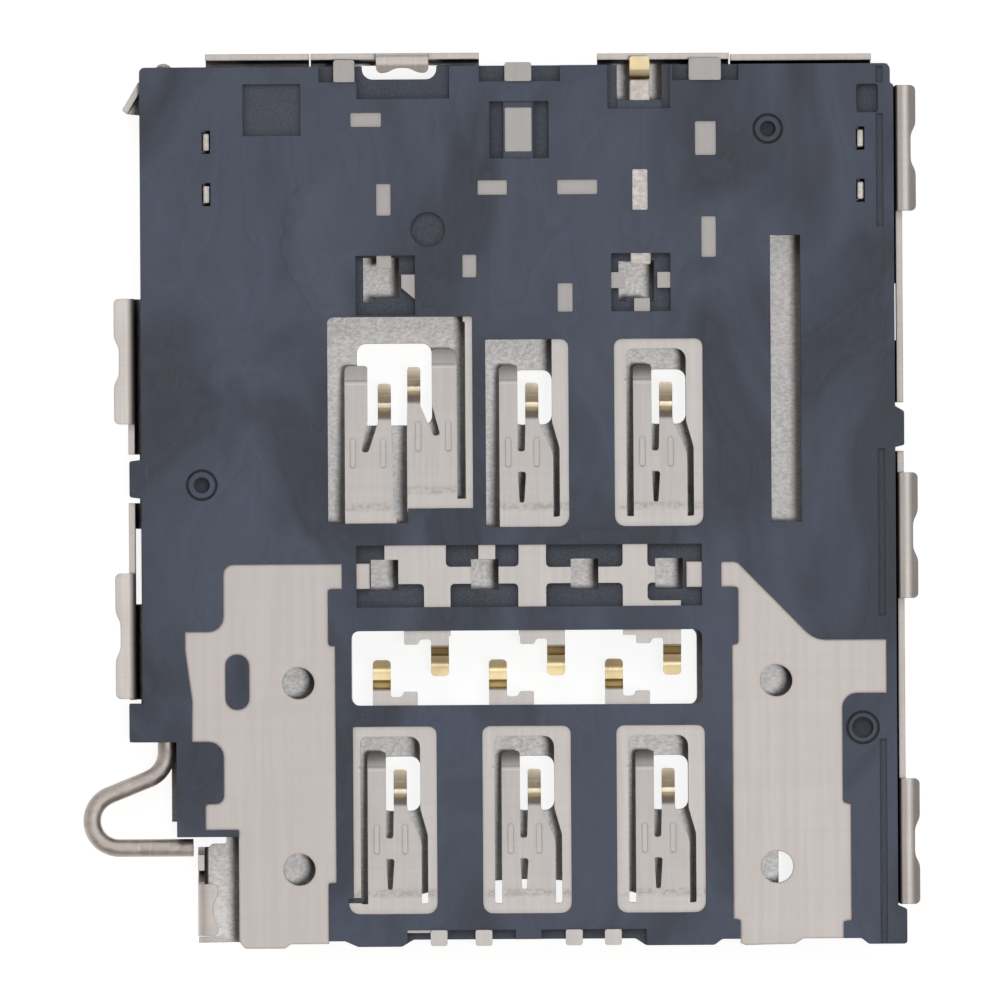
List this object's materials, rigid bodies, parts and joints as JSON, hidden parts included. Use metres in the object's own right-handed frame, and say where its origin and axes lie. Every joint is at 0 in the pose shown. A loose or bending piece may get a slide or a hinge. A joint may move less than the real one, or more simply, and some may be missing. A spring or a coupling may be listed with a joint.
{
  "type": "card socket",
  "caption": "Flat board-mount card socket: dark moulding with slit spring contacts in a folded steel shell with lobed solder feet, and a hooked push rod that turns an eject lever.",
  "frame": {"origin": "on the outer face of the cover, at the middle of the socket", "axes": "+Z out of the solder side, +Y towards the back edge with the solder tails, -Y towards the mouth that the tray goes in by"},
  "size_m": [0.0159, 0.0169, 0.0014],
  "materials": {
    "moulding": "matt, dark blue-grey, slightly mottled",
    "shell_steel": "satin, rolled",
    "plate_steel": "satin, brushed along Y",
    "contact_alloy": "satin, tips plated with gold",
    "gold_plate": "bright gold plating",
    "rod_steel": "drawn bar, tumbled"
  },
  "bodies": {
    "frame": {"housing": "moulding", "cover_shell": "shell_steel", "left_base_plate": "plate_steel", "right_base_plate": "plate_steel", "contact_back_left": "contact_alloy", "contact_back_middle": "contact_alloy", "contact_back_right": "contact_alloy", "contact_card_detect": "contact_alloy", "contact_front_left": "contact_alloy", "contact_front_middle": "contact_alloy", "contact_front_right": "contact_alloy", "lever_pivot": "rod_steel", "switch_spring": "gold_plate", "switch_pad": "contact_alloy", "stop_pins": "rod_steel"},
    "rod": {"push_rod": "rod_steel"},
    "lever": {"eject_lever": "rod_steel"}
  },
  "joints": [
    {"name": "push_slide", "type": "slide", "parent": "frame", "child": "rod", "axis": [0, -1, 0], "range_m": [0, 0.0016]},
    {"name": "lever_turn", "type": "hinge", "parent": "frame", "child": "lever", "pos_m": [-0.00325, 0.00738, 0.0003], "axis": [0, 0, 1], "range_deg": [0, 28.65]}
  ],
  "couplings": [
    {"joint": "lever_turn", "follows": "push_slide", "rad_per_m": 312.5}
  ]
}
